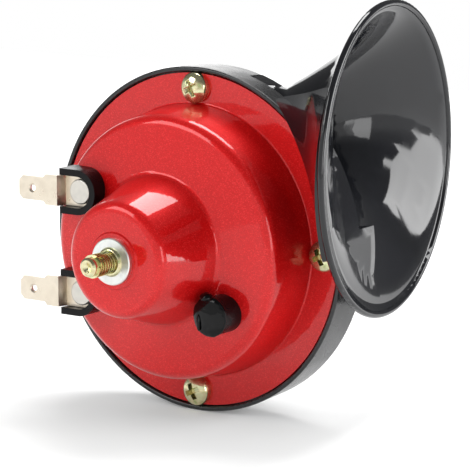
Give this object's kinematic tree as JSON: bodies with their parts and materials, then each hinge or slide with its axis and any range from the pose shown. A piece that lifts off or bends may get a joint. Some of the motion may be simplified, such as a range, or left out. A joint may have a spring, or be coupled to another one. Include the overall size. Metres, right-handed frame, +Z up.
{
  "type": "car horn",
  "caption": "Electric disc horn with a red pressed steel cover, a mounting stud, two blade terminals and a black snail trumpet with a flared round bell.",
  "frame": {"origin": "on the mounting stud's axis, where its thread starts, in front of the washer", "axes": "stud along -Y, +Z up, the bell opens towards +X"},
  "size_m": [0.1001, 0.1075, 0.1106],
  "materials": {
    "red_enamel": "gloss",
    "black_shell": "satin",
    "black_trumpet": "gloss",
    "yellow_zinc": "satin",
    "white_zinc": "satin",
    "tinned_blade": "satin",
    "bare_steel": "satin",
    "spring_steel": "satin",
    "insulator": "matte",
    "compound": "gloss",
    "copper": "satin",
    "contact_metal": "satin",
    "bobbin_moulding": "matte",
    "gasket_fibre": "matte"
  },
  "bodies": {
    "housing": {"cover": "red_enamel", "front_gasket": "gasket_fibre", "diaphragm": "spring_steel", "rear_gasket": "gasket_fibre", "front_shell": "black_shell", "trumpet": "black_trumpet", "flange_screws": "yellow_zinc", "core_stud": "yellow_zinc", "stud_washer": "white_zinc", "coil_bobbin": "bobbin_moulding", "coil_winding": "copper", "pole_plate": "bare_steel", "breaker_base": "insulator", "breaker_insulator": "insulator", "breaker_clamp": "insulator", "contact_carrier": "bare_steel", "fixed_contact": "contact_metal", "breaker_rivets": "bare_steel", "adjusting_bush": "white_zinc", "adjusting_screw": "white_zinc", "adjuster_sleeve": "insulator", "sealing_compound": "compound", "terminal_insulator_upper": "insulator", "terminal_insulator_lower": "insulator", "terminal_blade_upper": "tinned_blade", "terminal_blade_lower": "tinned_blade", "terminal_washer_upper": "insulator", "terminal_washer_lower": "insulator", "terminal_rivet_upper": "tinned_blade", "terminal_rivet_lower": "tinned_blade", "lead_terminal_to_coil": "copper", "lead_coil_to_breaker": "copper", "lead_terminal_to_breaker": "copper"},
    "armature_group": {"armature": "bare_steel", "diaphragm_washer_front": "bare_steel", "diaphragm_washer_rear": "bare_steel", "armature_nut": "white_zinc"},
    "contact_arm": {"contact_blade": "spring_steel", "moving_contact": "contact_metal"}
  },
  "joints": [
    {"name": "armature_slide", "type": "slide", "parent": "housing", "child": "armature_group", "axis": [0, -1, 0], "range_m": [0, 0.0006], "stiffness_N_per_m": 400, "deforming": ["diaphragm"]},
    {"name": "contact_arm_hinge", "type": "hinge", "parent": "housing", "child": "contact_arm", "pos_m": [-0.00601, 0.02975, -0.01629], "axis": [0.0705, 0, -0.9975], "range_deg": [0, 2.45], "deforming": ["contact_blade"]}
  ],
  "couplings": [
    {"joint": "contact_arm_hinge", "follows": "armature_slide", "rad_per_m": 70.015}
  ]
}
